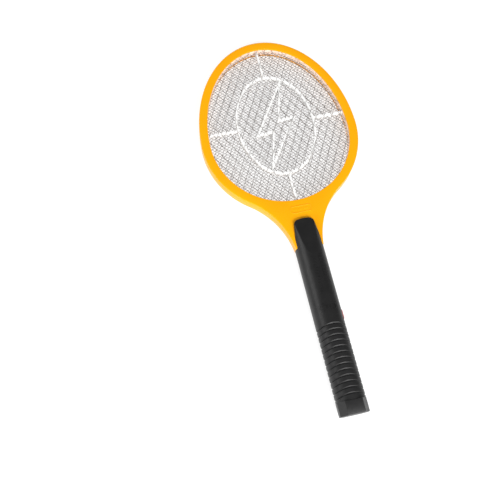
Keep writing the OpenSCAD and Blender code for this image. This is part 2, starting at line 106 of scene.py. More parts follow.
def make_stage():
    """White paper that glows evenly under the racket, a white room and three softboxes."""
    data = bpy.data.meshes.new("floor")
    half = 6.0
    corners = [(-half, -half, 0), (half, -half, 0), (half, half, 0), (-half, half, 0)]
    data.from_pydata(corners, [], [(0, 1, 2, 3)])
    floor = bpy.data.objects.new("floor", data)
    scene.collection.objects.link(floor)
    material = bpy.data.materials.new("floor_paper")
    material.use_nodes = True
    shader = material.node_tree.nodes["Principled BSDF"]
    shader.inputs["Base Color"].default_value = (0.35, 0.35, 0.35, 1)
    shader.inputs["Roughness"].default_value = 0.9
    shader.inputs["Specular IOR Level"].default_value = 0.0
    shader.inputs["Emission Color"].default_value = (1, 1, 1, 1)
    shader.inputs["Emission Strength"].default_value = 0.78
    data.materials.append(material)

    world = bpy.data.worlds.new("studio")
    world.use_nodes = True
    world.node_tree.nodes["Background"].inputs["Color"].default_value = (1, 1, 1, 1)
    world.node_tree.nodes["Background"].inputs["Strength"].default_value = 0.32
    scene.world = world
    softbox("key_left", -113, 34, 1.6, 1.0, 9)
    softbox("fill_tail", 15, 40, 1.7, 0.9, 34)
    softbox("edge_left", -58, 22, 1.7, 0.4, 10)
    scene.view_settings.view_transform = "Standard"


# ---------------------------------------------------------------- materials

NOISE_LOW, NOISE_HIGH = 0.3, 0.7        # nearly all of a noise lies between these


def node_material(name):
    material = bpy.data.materials.new(name)
    material.use_nodes = True
    tree = material.node_tree
    return material, tree, tree.nodes["Principled BSDF"]


def noise(tree, scale, detail=3.0, stretch=(1, 1, 1)):
    """Factor of a noise texture in object coordinates, with its scale in features per metre."""
    where = tree.nodes.new("ShaderNodeTexCoord")
    mapping = tree.nodes.new("ShaderNodeMapping")
    mapping.inputs["Scale"].default_value = stretch
    tree.links.new(where.outputs["Object"], mapping.inputs["Vector"])
    texture = tree.nodes.new("ShaderNodeTexNoise")
    texture.inputs["Scale"].default_value = scale
    texture.inputs["Detail"].default_value = detail
    texture.inputs["Roughness"].default_value = 0.55
    tree.links.new(mapping.outputs["Vector"], texture.inputs["Vector"])
    return texture.outputs["Fac"]


def ramp(tree, factor, low, high):
    """Colour that goes from low to high with a noise."""
    node = tree.nodes.new("ShaderNodeValToRGB")
    first, last = node.color_ramp.elements
    first.position, first.color = NOISE_LOW, (*low, 1)
    last.position, last.color = NOISE_HIGH, (*high, 1)
    tree.links.new(factor, node.inputs["Fac"])
    return node.outputs["Color"]


def spread(tree, factor, low, high):
    """Number that goes from low to high with a noise."""
    node = tree.nodes.new("ShaderNodeMapRange")
    node.inputs["From Min"].default_value, node.inputs["From Max"].default_value = NOISE_LOW, NOISE_HIGH
    node.inputs["To Min"].default_value, node.inputs["To Max"].default_value = low, high
    tree.links.new(factor, node.inputs["Value"])
    return node.outputs["Result"]


def bump(tree, shader, height, strength, distance):
    node = tree.nodes.new("ShaderNodeBump")
    node.inputs["Strength"].default_value = strength
    node.inputs["Distance"].default_value = distance
    tree.links.new(height, node.inputs["Height"])
    tree.links.new(node.outputs["Normal"], shader.inputs["Normal"])


def surface(name, low, high, rough, colour_scale, grain_scale, grain, grain_h=2e-5,
            metallic=0.0, stretch=(1, 1, 1), shine=0.5, coat=0.0):
    """A material whose colour drifts from low to high, with a fine grain in its roughness and bump.

    rough holds the least and the most roughness, the scales are in features per metre, and
    grain_h is the height of the grain in metres.
    """
    material, tree, shader = node_material(name)
    drift = noise(tree, colour_scale, stretch=stretch)
    fine = noise(tree, grain_scale, detail=2, stretch=stretch)
    tree.links.new(ramp(tree, drift, low, high), shader.inputs["Base Color"])
    tree.links.new(spread(tree, fine, *rough), shader.inputs["Roughness"])
    bump(tree, shader, fine, grain, grain_h)
    shader.inputs["Metallic"].default_value = metallic
    shader.inputs["Specular IOR Level"].default_value = shine
    shader.inputs["Coat Weight"].default_value = coat
    return material


def make_metals():
    """The looks of the bare metals."""
    def metal(*look, **more):
        return surface(*look, metallic=1.0, **more)
    return {
        # The grid's one aluminium comes as two copies: the first is darkened as painted shade for the back
        # and centre layers, the second is lightened as painted light for the front layer.
        "wire": metal("grid_wire_painted_shade", (0.16, 0.128, 0.115), (0.25, 0.205, 0.185), (0.35, 0.5), 200, 4000, 0.2),
        "wire_painted_lit": metal("painted_lit_front_wire", (0.56, 0.52, 0.5), (0.74, 0.7, 0.68), (0.3, 0.45),
                             200, 4000, 0.2),
        "zinc": metal("zinc_steel", (0.52, 0.52, 0.5), (0.68, 0.68, 0.66), (0.3, 0.5), 300, 3000, 0.3),
        "nickel": metal("nickel_steel", (0.66, 0.64, 0.6), (0.78, 0.76, 0.72), (0.18, 0.3), 200, 3000, 0.15),
        "copper": metal("copper_wire", (0.5, 0.16, 0.05), (0.62, 0.24, 0.09), (0.2, 0.35), 500, 4000, 0.3,
                        stretch=(1, 6, 1)),
        "brass": metal("brass", (0.66, 0.44, 0.14), (0.78, 0.55, 0.2), (0.22, 0.38), 400, 3500, 0.2),
    }


def make_plastics():
    """The looks of the mouldings and of the parts on the board."""
    return {
        "yellow": surface("yellow_abs", (0.88, 0.365, 0.0), (0.91, 0.388, 0.001), (0.25, 0.33),
                          25, 1800, 0.12, shine=0.22),
        "black": surface("black_abs", (0.0045, 0.0045, 0.0047), (0.0075, 0.0073, 0.0075), (0.32, 0.5),
                         90, 1500, 0.9, 7e-5, shine=0.4),
        # Peach white for the spacer's rim next to the frame: painted reflection of the yellow frame's light
        # on the white plastic.
        "white_painted_reflection": surface("white_ps_painted_yellow_reflection", (0.9, 0.68, 0.55), (0.95, 0.76, 0.64), (0.35, 0.45),
                              40, 1500, 0.1),
        "white": surface("white_ps", (0.86, 0.86, 0.85), (0.93, 0.93, 0.92), (0.35, 0.45), 40, 1500, 0.1),
        "red": surface("button_red", (0.33, 0.008, 0.006), (0.42, 0.012, 0.008), (0.3, 0.4), 80, 2000, 0.15),
        "board": surface("board_green", (0.012, 0.11, 0.03), (0.02, 0.15, 0.045), (0.3, 0.45),
                         400, 3000, 0.2),
        "ferrite": surface("ferrite", (0.025, 0.025, 0.027), (0.05, 0.05, 0.05), (0.5, 0.7), 700, 3000, 0.5),
        "epoxy": surface("dark_epoxy", (0.012, 0.012, 0.012), (0.022, 0.022, 0.022), (0.45, 0.6),
                         300, 3500, 0.4),
        "film": surface("film_capacitor", (0.25, 0.01, 0.006), (0.33, 0.018, 0.01), (0.18, 0.3),
                        200, 1500, 0.2, coat=0.3),
        "disc": surface("disc_capacitor", (0.01, 0.06, 0.25), (0.015, 0.09, 0.33), (0.3, 0.45),
                        300, 1800, 0.3),
        "tan": surface("resistor_tan", (0.5, 0.33, 0.16), (0.6, 0.42, 0.22), (0.3, 0.45), 500, 2500, 0.2),
        "grey": surface("switch_grey", (0.03, 0.03, 0.03), (0.05, 0.05, 0.05), (0.4, 0.55), 200, 2500, 0.3),
    }


def make_materials():
    m = {**make_plastics(), **make_metals()}
    for colour, low, high in (("red", (0.42, 0.01, 0.008), (0.5, 0.016, 0.012)),
                              ("white", (0.7, 0.7, 0.68), (0.8, 0.8, 0.78)),
                              ("black", (0.008, 0.008, 0.008), (0.015, 0.015, 0.015)),
                              ("yellow", (0.6, 0.42, 0.01), (0.7, 0.5, 0.02))):
        m["lead_" + colour] = surface("lead_" + colour, low, high, (0.38, 0.5), 300, 2500, 0.2)
    return m


# ---------------------------------------------------------------- mesh tools

def solid(points, faces):
    """A mesh object from points in the script's millimetres, with its faces turned outwards."""
    data = bpy.data.meshes.new("part")
    data.from_pydata([(x * MM, (y + HUB_Y) * MM, (z + MID_Z) * MM) for x, y, z in points], [], faces)
    b = bmesh.new()
    b.from_mesh(data)
    bmesh.ops.recalc_face_normals(b, faces=b.faces)
    b.to_mesh(data)
    b.free()
    piece = bpy.data.objects.new("part", data)
    scene.collection.objects.link(piece)
    return piece


def shade(piece, degrees=32):
    """Smooth faces, with a sharp edge wherever two faces meet at more than that angle."""
    b = bmesh.new()
    b.from_mesh(piece.data)
    limit = math.radians(degrees)
    for f in b.faces:
        f.smooth = True
    for e in b.edges:
        e.smooth = len(e.link_faces) == 2 and e.calc_face_angle(math.pi) < limit
    b.to_mesh(piece.data)
    b.free()


def belt(a, b, n):
    """Faces between two rings of n points, of which one starts at point a and the other at b."""
    return [(a + i, a + (i + 1) % n, b + (i + 1) % n, b + i) for i in range(n)]


def column(low, high):
    """Solid between a lower and an upper ring of equally many points."""
    n = len(low)
    ends = [tuple(range(n - 1, -1, -1)), tuple(range(n, 2 * n))]
    return solid(low + high, ends + belt(0, n, n))


def prism(polygon, z0, z1):
    """Upright solid over a polygon in the XY plane."""
    return column([(x, y, z0) for x, y in polygon], [(x, y, z1) for x, y in polygon])


def box(x0, x1, y0, y1, z0, z1):
    return prism([(x0, y0), (x1, y0), (x1, y1), (x0, y1)], z0, z1)


def circle(cx, cy, r, n=48):
    steps = [2 * math.pi * i / n for i in range(n)]
    return [(cx + r * math.cos(a), cy + r * math.sin(a)) for a in steps]


def loft(rings, ends="paired"):
    """Solid through rings of equally many points, each a closed section.

    With "paired" ends a ring's points lie opposite each other and are joined in pairs, with
    "flat" ones each end is a single face, and with "joined" the last ring leads to the first.
    """
    n, count = len(rings[0]), len(rings)
    last = (count - 1) * n
    faces = []
    for j in range(count if ends == "joined" else count - 1):
        faces += belt(j * n, (j + 1) % count * n, n)
    if ends == "paired":
        faces += cap(0, n) + cap(last, n)
    if ends == "flat":
        faces += [tuple(range(n - 1, -1, -1)), tuple(range(last, last + n))]
    return solid([p for ring in rings for p in ring], faces)


def cap(base, n):
    """Faces over a ring whose points i and n - 1 - i lie opposite each other."""
    return [(base + i, base + i + 1, base + n - 2 - i, base + n - 1 - i) for i in range(n // 2 - 1)]


def wall_along(outlines):
    """Closed wall from outlines of equally many points, one for each corner of its section."""
    return loft([list(ring) for ring in zip(*outlines)], "joined")


def combine(target, cutters, how):
    """Applies a boolean of each cutter to the target, and removes the cutters."""
    for cutter in cutters:
        modifier = target.modifiers.new("boolean", "BOOLEAN")
        modifier.operation, modifier.solver, modifier.object = how, "EXACT", cutter
        done = bpy.data.meshes.new_from_object(target.evaluated_get(bpy.context.evaluated_depsgraph_get()))
        target.modifiers.clear()
        target.data = done
        bpy.data.objects.remove(cutter)
    return target


def merge(parts, name):
    """One object out of several that don't touch."""
    points, faces = [], []
    for part in parts:
        base = len(points)
        points += [v.co.copy() for v in part.data.vertices]
        faces += [tuple(base + i for i in p.vertices) for p in part.data.polygons]
        bpy.data.objects.remove(part)
    data = bpy.data.meshes.new(name)
    data.from_pydata(points, [], faces)
    piece = bpy.data.objects.new(name, data)
    scene.collection.objects.link(piece)
    return piece


def finish_piece(piece, name, material, body, nodes, degrees=32):
    piece.name = name
    piece.data.name = name
    piece.data.materials.clear()
    piece.data.materials.append(material)
    shade(piece, degrees)
    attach(piece, body)
    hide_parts(*nodes)


# ---------------------------------------------------------------- frame

def oval(d, t):
    """Point on the outline of the head's opening grown by d, at angle t."""
    reach = (OPEN_UP if math.sin(t) > 0 else OPEN_DOWN) + d
    return (OPEN_A + d) * math.cos(t), -EGG_DROP + reach * math.sin(t)


def head_outline():
    """Pairs of a point on the outer outline and the angle of the opening's point that it goes with."""
    meet = math.asin((THROAT_MEET_Y + EGG_DROP) / (OPEN_DOWN + BAND))
    start, stop = meet, math.pi - meet
    n_head, n_arc, n_neck = 150, 26, 6
    angles = [start + (stop - start) * i / n_head for i in range(n_head + 1)]
    pairs = [(oval(BAND, t), t) for t in angles]
    centre_x, centre_y = THROAT_HALF_W + THROAT_R, -THROAT_WAIST
    low = math.asin((NECK_Y - centre_y) / THROAT_R)
    high = math.asin((THROAT_MEET_Y - centre_y) / THROAT_R)
    quarter = 0.5 * math.pi + meet
    arc_share, neck_share = 0.85, 0.3
    left = []
    for i in range(1, n_arc + 1):
        a = high + (low - high) * i / n_arc
        point = (-centre_x + THROAT_R * math.cos(a), centre_y + THROAT_R * math.sin(a))
        left.append((point, stop + quarter * arc_share * i / n_arc))
    pairs += left
    edge = left[-1][0][0]
    for i in range(1, n_neck):
        u = i / n_neck
        pairs.append(((edge * (1 - 2 * u), NECK_Y), stop + quarter * (arc_share + neck_share * u)))
    pairs += [((-p[0], p[1]), math.pi - t + 2 * math.pi) for p, t in reversed(left)]
    return pairs


def inset_outline(points, d):
    """Closed outline moved inwards by d, with mitred corners."""
    n = len(points)
    moved = []
    for i in range(n):
        a, p, b = (Vector(points[k % n]) for k in (i - 1, i, i + 1))
        u, v = (p - a).normalized(), (b - p).normalized()
        n1, n2 = Vector((-u.y, u.x)), Vector((-v.y, v.x))
        moved.append(tuple(p + (n1 + n2) / (1 + n1.dot(n2)) * d))
    return moved


def arc_profile(r, z):
    """Inset and height along a quarter round of radius r that ends at height z."""
    steps = 4
    turns = [math.pi / 2 * i / steps for i in range(steps + 1)]
    return [(r * (1 - math.cos(a)), z - r + r * math.sin(a)) for a in turns]


def frame_shell(side):
    """Closed shell of the head's frame, as the front one for side 1 and the back one for side -1."""
    pairs = head_outline()
    outline = [p for p, _ in pairs]
    angles = [t for _, t in pairs]
    seam, lip = 0.25, 0.5
    outer = [(seam, 0.0), (0.0, seam)] + arc_profile(1.0, RING_H)
    inner = [(-d, z) for d, z in reversed(arc_profile(lip, RING_H))] + [(0.0, RING_H - FRAME_WALL)]
    hollow = [(FRAME_WALL, RING_H - FRAME_WALL), (FRAME_WALL, 0.0)]
    outlines = {d: inset_outline(outline, d) for d in {d for d, _ in outer + hollow}}
    rings = []
    for i, t in enumerate(angles):
        ring = [(*outlines[d][i], side * z) for d, z in outer]
        ring += [(*oval(-d, t), side * z) for d, z in inner]
        ring += [(*outlines[d][i], side * z) for d, z in hollow]
        rings.append(ring)
    return loft(rings, "joined")


def rounded_rect(cx, cy, w, h, r, n=8):
    corners = [(cx + w / 2 - r, cy + h / 2 - r, 0), (cx - w / 2 + r, cy + h / 2 - r, 90),
               (cx - w / 2 + r, cy - h / 2 + r, 180), (cx + w / 2 - r, cy - h / 2 + r, 270)]
    return [(x + r * math.cos(math.radians(a + 90 * i / n)), y + r * math.sin(math.radians(a + 90 * i / n)))
            for x, y, a in corners for i in range(n + 1)]


def raised_band(outline_of, width, base, top):
    """A low ridge that follows a closed outline; outline_of(d) is that outline grown by d."""
    slope = 0.18
    profile = [(0, base), (0, top - slope), (slope, top),
               (width - slope, top), (width, top - slope), (width, base)]
    return wall_along([[(*p, z) for p in outline_of(-d)] for d, z in profile])


def badge():
    """Blank rounded badge on the throat: a low ridge round three plain bars."""
    cx, cy, w, h, corner = 1.2, -110.8, 24.0, 8.6, 3.2
    base = RING_H - 0.4

    def outline_of(d):
        return rounded_rect(cx, cy, w + 2 * d, h + 2 * d, corner + d)
    ridge = raised_band(outline_of, 1.0, base, RING_H + 0.45)
    bars = [prism(rounded_rect(cx + x, cy, 4.4, 1.7, 0.8), base, RING_H + 0.3) for x in (-6, 0, 6)]
    return [ridge, *bars]


def make_frame(m):
    front = frame_shell(1)
    spigot = box(-SPIGOT_W, SPIGOT_W, SPIGOT_END, NECK_Y + 1, 0, SPIGOT_T)
    combine(front, [spigot, *badge()], "UNION")
    finish_piece(front, "frame_front_shell", m["yellow"], "racket", ["frame_front"])
    back = frame_shell(-1)
    combine(back, [box(-SPIGOT_W, SPIGOT_W, SPIGOT_END, NECK_Y + 1, -SPIGOT_T, 0)], "UNION")
    for x, y in THROAT_SCREWS:
        boss = prism(circle(x, y, THROAT_BOSS_R), -RING_H + 0.5, -0.1)
        well = prism(circle(x, y, SCREW_WELL_R), -RING_H - 1, THROAT_SEAT)
        hole = prism(circle(x, y, SCREW_HOLE_R), -RING_H - 1, 1)
        combine(back, [boss], "UNION")
        combine(back, [well, hole], "DIFFERENCE")
    finish_piece(back, "frame_back_shell", m["yellow"], "racket", ["frame_back"])


# ---------------------------------------------------------------- grids

GRID_LAP = 2.8              # the wires run this far past the opening, into the frame's clamp
WIRE_REACH = 140            # no wire lies farther from the hub than this


def wire_layer(name, node, material, z, angles, shifts, r, pitch, crimp, sides, mids):
    """Two families of crimped wires that cross, clipped to the oval.

    angles are the families' directions, shifts move a family by a share of the pitch, and mids
    adds a point half way between crossings.
    """
    families = []
    for angle, shift in zip(angles, shifts):
        a = math.radians(angle)
        families.append((Vector((math.cos(a), math.sin(a))), Vector((-math.sin(a), math.cos(a))), shift))
    points, faces = [], []
    most = int(WIRE_REACH / pitch)
    for which, (u, normal, shift) in enumerate(families):
        _, across, across_shift = families[1 - which]
        for k in range(-most, most + 1):
            c = (k + shift) * pitch
            stops = crossings(u, normal, c, across, across_shift, pitch, k + which, mids)
            if len(stops) > 1:
                add_wire(points, faces, u, normal, c, stops, z, r, crimp, sides)
    finish_piece(solid(points, faces), name, material, "racket", [node], 60)


def crossings(u, normal, c, across, across_shift, pitch, parity, mids):
    """Distances along a wire, each with its height from -1 to 1, from where it enters the oval."""
    span = oval_span(u, normal, c)
    if not span:
        return []
    low, high = span
    slope, offset = u.dot(across), c * normal.dot(across)
    first = (low * slope + offset) / pitch - across_shift
    last = (high * slope + offset) / pitch - across_shift
    stops = []
    for mark in range(math.ceil(min(first, last)), math.floor(max(first, last)) + 1):
        s = ((mark + across_shift) * pitch - offset) / slope
        stops.append((s, 1 if (parity + mark) % 2 == 0 else -1))
        if mids:
            stops.append((s + 0.5 * pitch / abs(slope), 0))
    stops = sorted(x for x in stops if low < x[0] < high)
    return [(low, 0)] + stops + [(high, 0)]


def oval_span(u, normal, c):
    """Where the line at distance c from the hub enters and leaves the oval grown by the wires' lap."""
    reach, step, halvings = 150, 2, 12
    inside = [s for s in range(-reach, reach + 1, step) if in_oval(u * s + normal * c, GRID_LAP)]
    if len(inside) < 4:
        return None
    ends = []
    for s, way in ((inside[0], -1), (inside[-1], 1)):
        near, far = float(s), float(s + step * way)
        for _ in range(halvings):
            middle = (near + far) / 2
            if in_oval(u * middle + normal * c, GRID_LAP):
                near = middle
            else:
                far = middle
        ends.append(near)
    return ends


def in_oval(p, lap):
    """Whether a point is in the head's opening grown by lap."""
    y = p.y + EGG_DROP
    reach = (OPEN_UP if y > 0 else OPEN_DOWN) + lap
    return (p.x / (OPEN_A + lap)) ** 2 + (y / reach) ** 2 < 1


def add_wire(points, faces, u, normal, c, stops, z, r, crimp, sides):
    """Adds one wire, as a tube that rises and falls by crimp from stop to stop."""
    base = len(points)
    for s, over in stops:
        p = u * s + normal * c
        for i in range(sides):
            a = 2 * math.pi * (i + 0.5) / sides
            q = p + normal * (r * math.cos(a))
            points.append((q.x, q.y, z + crimp * over + r * math.sin(a)))
    for j in range(len(stops) - 1):
        faces += belt(base + j * sides, base + (j + 1) * sides, sides)
    faces.append(tuple(range(base + sides - 1, base - 1, -1)))
    end = base + (len(stops) - 1) * sides
    faces.append(tuple(range(end, end + sides)))


def make_grids(m):
    outer_z = RING_H - FRAME_WALL - 0.33
    coarse = {"pitch": 8.4, "crimp": 0.1, "sides": 6, "mids": True}
    fine = {"pitch": 3.08, "crimp": 0.08, "sides": 4, "mids": False}
    # The front layer takes the lit copy of the wire metal (painted light), and the back and centre layers
    # take the shaded copy (painted shade).
    wire_layer("grid_front_wires", "mesh_front", m["wire_painted_lit"], outer_z,
               angles=(115.8, 59.4), shifts=(0.0, 0.0), r=0.22, **coarse)
    wire_layer("grid_back_wires", "mesh_back", m["wire"], -outer_z,
               angles=(120.0, 63.2), shifts=(0.5, 0.0), r=0.24, **coarse)
    wire_layer("grid_centre_wires", "mesh_centre", m["wire"], 0.0,
               angles=(138.6, 25.2), shifts=(0.0, 0.0), r=0.19, **fine)


# ---------------------------------------------------------------- spacers

BOLT = [(19.4, 58.5), (-25.5, -11.7), (-6.1, -10.7), (-18.2, -58.5), (24.8, 5.6), (6.1, 5.4)]
RIB, RIM, OVAL_A, OVAL_B = 2.2, 4.0, 44.5, 63.7
STEP = 0.01                 # ribs that meet end this far apart in height, so no two faces lie in one plane


def wall_profile(w, z0, z1):
    """Section of an upright wall with eased edges, as distance from its outer face and height."""
    r = 0.3
    return [(0, z0 + r), (0, z1 - r), (r, z1), (w - r, z1), (w, z1 - r), (w, z0 + r), (w - r, z0), (r, z0)]


def oval_ring(grow, w, z0, z1, point):
    """Ring wall whose inner face is the outline point(grow, t)."""
    n = 144
    outlines = [[(*point(grow + w - d, 2 * math.pi * i / n), z) for i in range(n)]
                for d, z in wall_profile(w, z0, z1)]
    return wall_along(outlines)


def ellipse(d, t):
    return (OVAL_A + d) * math.cos(t), (OVAL_B + d) * math.sin(t)


def bar(p, q, w, z0, z1):
    """Straight rib between two points in the plane."""
    p, q = Vector(p), Vector(q)
    u = (q - p).normalized()
    side = Vector((-u.y, u.x))
    rings = []
    for end in (p, q):
        ring = []
        for d, z in wall_profile(w, z0, z1):
            c = end + side * (w / 2 - d)
            ring.append((c.x, c.y, z))
        rings.append(ring)
    return loft(rings, "flat")


def bolt_ring(z0, z1):
    outline = list(reversed(BOLT)) if signed_area(BOLT) < 0 else BOLT
    outlines = [[(*p, z) for p in inset_outline(outline, d)] for d, z in wall_profile(RIB, z0, z1)]
    return wall_along(outlines)


def signed_area(p):
    return sum(p[i - 1][0] * p[i][1] - p[i][0] * p[i - 1][1] for i in range(len(p))) / 2


def make_spacer(name, z0, z1, m, node):
    spacer = oval_ring(0.0, RIM, z0, z1, oval)
    parts = [oval_ring(-RIB / 2, RIB, z0, z1, ellipse), bolt_ring(z0 + STEP, z1 - STEP)]
    low, high = z0 + 2 * STEP, z1 - 2 * STEP
    for side in (-1, 1):
        parts.append(bar((side * OVAL_A, 0), (side * (OPEN_A + 2), 0), RIB, low, high))
    parts.append(bar((0, OVAL_B), (0, OPEN_UP - EGG_DROP + 2), RIB, low, high))
    parts.append(bar((0, -OVAL_B), (0, -OPEN_DOWN - EGG_DROP - 2), RIB, low, high))
    combine(spacer, parts, "UNION")
    finish_piece(spacer, name, m["white"], "racket", [node], 35)
    # The rim's faces outside the opening take the peach white, a painted reflection of the yellow frame on
    # the white spacer.
    spacer.data.materials.append(m["white_painted_reflection"])
    for face in spacer.data.polygons:
        middle = face.center / MM - Vector((0, HUB_Y, 0))
        if not in_oval(middle, -0.4):
            face.material_index = 1


def make_spacers(m):
    make_spacer("spacer_front_ribs", 0.3, 4.3, m, "spacer_front")
    make_spacer("spacer_back_ribs", -4.3, -0.3, m, "spacer_back")


# ---------------------------------------------------------------- handle

FACET_LOW, FACET_SLOPE = -165.4, math.tan(math.radians(5.5))
TONGUE_TIP, TONGUE_W = -124.9, 21.2
GROOVES_START, GROOVE_PITCH, GROOVE_N, GROOVE_W, GROOVE_D, GROOVE_ARCH = -241.5, 5.93, 13, 1.7, 0.75, 3.9
GROOVE_EASE, GROOVE_WALL = 0.12, 0.95
ARCH_R = (GRIP_A ** 2 + GROOVE_ARCH ** 2) / (2 * GROOVE_ARCH)
END_W, END_SIDE, END_FACE = 15.2, 4.0, 9.0
POST_R, POST_TOP = 4.0, 13.3


def grip_height(x):
    """Height of the handle's section over the parting plane at x."""
    return GRIP_B * max(0.0, 1 - abs(x / GRIP_A) ** ROUNDNESS) ** (1 / ROUNDNESS)


def grip_angle(x):
    """Angle parameter at which the section has that x."""
    return math.acos(min(1.0, (abs(x) / GRIP_A) ** (ROUNDNESS / 2)))


def grip_point(a, shrink=0.0):
    """Point of the section at angle a, with the section's half axes less by shrink."""
    x = (GRIP_A - shrink) * math.cos(a) ** (2 / ROUNDNESS)
    z = (GRIP_B - shrink) * math.sin(a) ** (2 / ROUNDNESS)
    return x, z


def tongue_half(y):
    """Half width of the thumb rest at y, and of the whole handle behind it."""
    if y < NECK_Y:
        return GRIP_A
    r = 2.7
    w = TONGUE_W / 2 + (GRIP_A - TONGUE_W / 2) * (TONGUE_TIP - y) / (TONGUE_TIP - NECK_Y)
    past = r - (TONGUE_TIP - y)
    if past > 0:
        w -= r - math.sqrt(max(0.0, r * r - past * past))
    return w


def front_height(x):
    return grip_height(x) * FRONT_B / GRIP_B


def section_right(y, facet):
    """Right half of the upper section at y, from the parting plane up to the middle."""
    w = tongue_half(y)
    seam = 0.25
    points = [(w - seam, 0.0), (w, seam)]
    top = grip_height(w)
    ease = 0.5
    low_angle = grip_angle(w)
    plane = FACET_SLOPE * (FACET_LOW - y) + GRIP_B if facet and y > FACET_LOW else GRIP_B
    crease = 4.5
    if facet:
        cut = GRIP_A * (1 - (plane / GRIP_B) ** ROUNDNESS) ** (1 / ROUNDNESS) if y > FACET_LOW else 0.0
        crease = max(cut, min(crease, 0.35 + 0.3 * max(0.0, FACET_LOW - y)))
    crease = min(crease, w - 0.6)
    high_angle = grip_angle(crease)
    n_wall, n_flank, n_face = 3, 20, 6
    top = min(top, plane)
    for i in range(1, n_wall + 1):
        points.append((w, max(seam, top - ease) * i / n_wall + seam * (1 - i / n_wall)))
    start = low_angle + (0.03 if w < GRIP_A else 0.02)
    for i in range(n_flank + 1):
        a = start + (high_angle - start) * i / n_flank
        x, z = grip_point(a)
        points.append((min(x, w), min(z, plane)))
    for i in range(1, n_face + 1):
        x = crease * (1 - i / n_face)
        points.append((x, min(grip_height(x), plane)))
    return points


def groove_depth(y):
    """Depth of the grooves at a place along the handle, measured on its middle line."""
    for i in range(GROOVE_N):
        middle = GROOVES_START - i * GROOVE_PITCH - GROOVE_W / 2
        off = abs(y - middle)
        if off < GROOVE_W / 2 + GROOVE_EASE:
            u = min(1.0, (GROOVE_W / 2 + GROOVE_EASE - off) / GROOVE_WALL)
            return GROOVE_D * u ** 1.1
    return 0.0


def arch_share(y):
    """How much a row at y bends into the arch of the grooves."""
    def smooth(u):
        u = min(1.0, max(0.0, u))
        return u * u * (3 - 2 * u)
    last = GROOVES_START - (GROOVE_N - 1) * GROOVE_PITCH - GROOVE_W
    return smooth((GROOVES_START + 14 - y) / 12) * smooth((y - END_START - 0.4) / (last - END_START - 1.4))


def handle_rows():
    """Places along the handle at which its section is drawn."""
    rows = [TONGUE_TIP - d for d in (0.05, 0.2, 0.5, 1.0, 1.7, 2.7, 4, 6, 8.5)]
    rows += [y for y in range(-136, -166, -2)] + [-155.0, -165.39, -165.6, -166.2, -167.5, -170, -174, -180]
    rows += [y for y in range(-186, -240, -4)]
    for i in range(GROOVE_N):
        top = GROOVES_START - i * GROOVE_PITCH
        for off in (0.4, GROOVE_EASE, 0.0, -0.15, -0.35, -0.55, GROOVE_EASE - GROOVE_WALL, -0.85):
            rows.append(top + off)
            rows.append(top - GROOVE_W - off)
        rows.append(top - GROOVE_PITCH * 0.65)
    rows += [END_START + 0.35]
    return sorted({round(y, 3) for y in rows}, reverse=True)


def end_right(share):
    """Right half of the end section, with as many points as the grip's."""
    corners = [(END_W, 0.0), (END_W, END_SIDE), (END_FACE, GRIP_B), (0.0, GRIP_B)]
    n_side, n_top = 4, 9
    counts = [n_side, len(section_right(NECK_Y, True)) - n_side - n_top, n_top]
    points = []
    for k, count in enumerate(counts):
        a, b = corners[k], corners[k + 1]
        for i in range(count):
            u = i / count if k < 2 else i / (count - 1)
            points.append((a[0] + (b[0] - a[0]) * u, a[1] + (b[1] - a[1]) * u))
    return [(x * share, z * share) for x, z in points]


def full_ring(right, y_of, sign):
    """Closed ring across the handle out of its right half."""
    left = [(-x, z) for x, z in reversed(right)]
    return [(x, y_of(x), sign * z) for x, z in right + left[1:]]


def handle_half(sign, facet):
    """Outside of one half of the handle, as a closed solid down to the parting plane."""
    rings = []
    for y in handle_rows():
        depth = groove_depth(y)
        right = section_right(y, facet)
        if depth:
            right = [(x * (1 - depth / GRIP_A), z * (1 - depth / GRIP_B)) for x, z in right]
        if facet:
            right = [(x, z * FRONT_B / GRIP_B) for x, z in right]
        share = arch_share(y)
        bulge = 1.9 * max(0.0, 1 - (TONGUE_TIP - y) / 16) ** 2

        def y_of(x, y=y, share=share, bulge=bulge):
            drop = ARCH_R - math.sqrt(ARCH_R ** 2 - min(abs(x), GRIP_A) ** 2)
            return y - share * drop + bulge * (1 - (x / (TONGUE_W / 2)) ** 2)
        rings.append(full_ring(right, y_of, sign))
    for y, share in ((END_START + 0.05, 1.0), (END_START - 0.3, 1.0), (HANDLE_END + 0.8, 1.0),
                     (HANDLE_END + 0.25, 0.985), (HANDLE_END, 0.95)):
        rings.append(full_ring(end_right(share), lambda x, y=y: y, sign))
    return loft(rings)


def inner_ring(y, sign, shrink):
    """Ring at y of the section less by shrink, carried a little past the parting plane."""
    n = 40
    arc = [grip_point(math.pi / 2 * i / n, shrink) for i in range(n + 1)]
    return full_ring([(arc[0][0], -1.0)] + arc, lambda x: y, sign)


def cavity(y0, y1, sign):
    """Inner space of one half of the handle between two places along it."""
    return loft([inner_ring(y, sign, WALL) for y in (y0, y1)])


SCREW_YS, SADDLE_YS = (-173.0, -217.3), (-252.0, -268.0, -282.0, -298.0, -312.0)
BUTTON_Y, BUTTON_L, BUTTON_H, BUTTON_FIT = -233.0, 11.6, 5.6, 0.2
BULKHEAD = (-220.4, -222.2)
DOOR_TOP, DOOR_Z, DOOR_GAP = -222.2, -9.6, 0.15
RAIL_X, RAIL_T, RAIL_Z, RAIL_REACH = 8.5, 0.9, -6.5, 12.2
FRONT_RISE, FRONT_SINK = 0.44, 0.5    # the marks rise this far, and start this deep
PILL_X, PILL_Y = 0.1, -224.7


def decal(polygon):
    """Thin raised solid over a polygon, following the curved front of the handle."""
    return column([(x, y, front_height(x) - FRONT_SINK) for x, y in polygon],
                  [(x, y, front_height(x) + FRONT_RISE) for x, y in polygon])


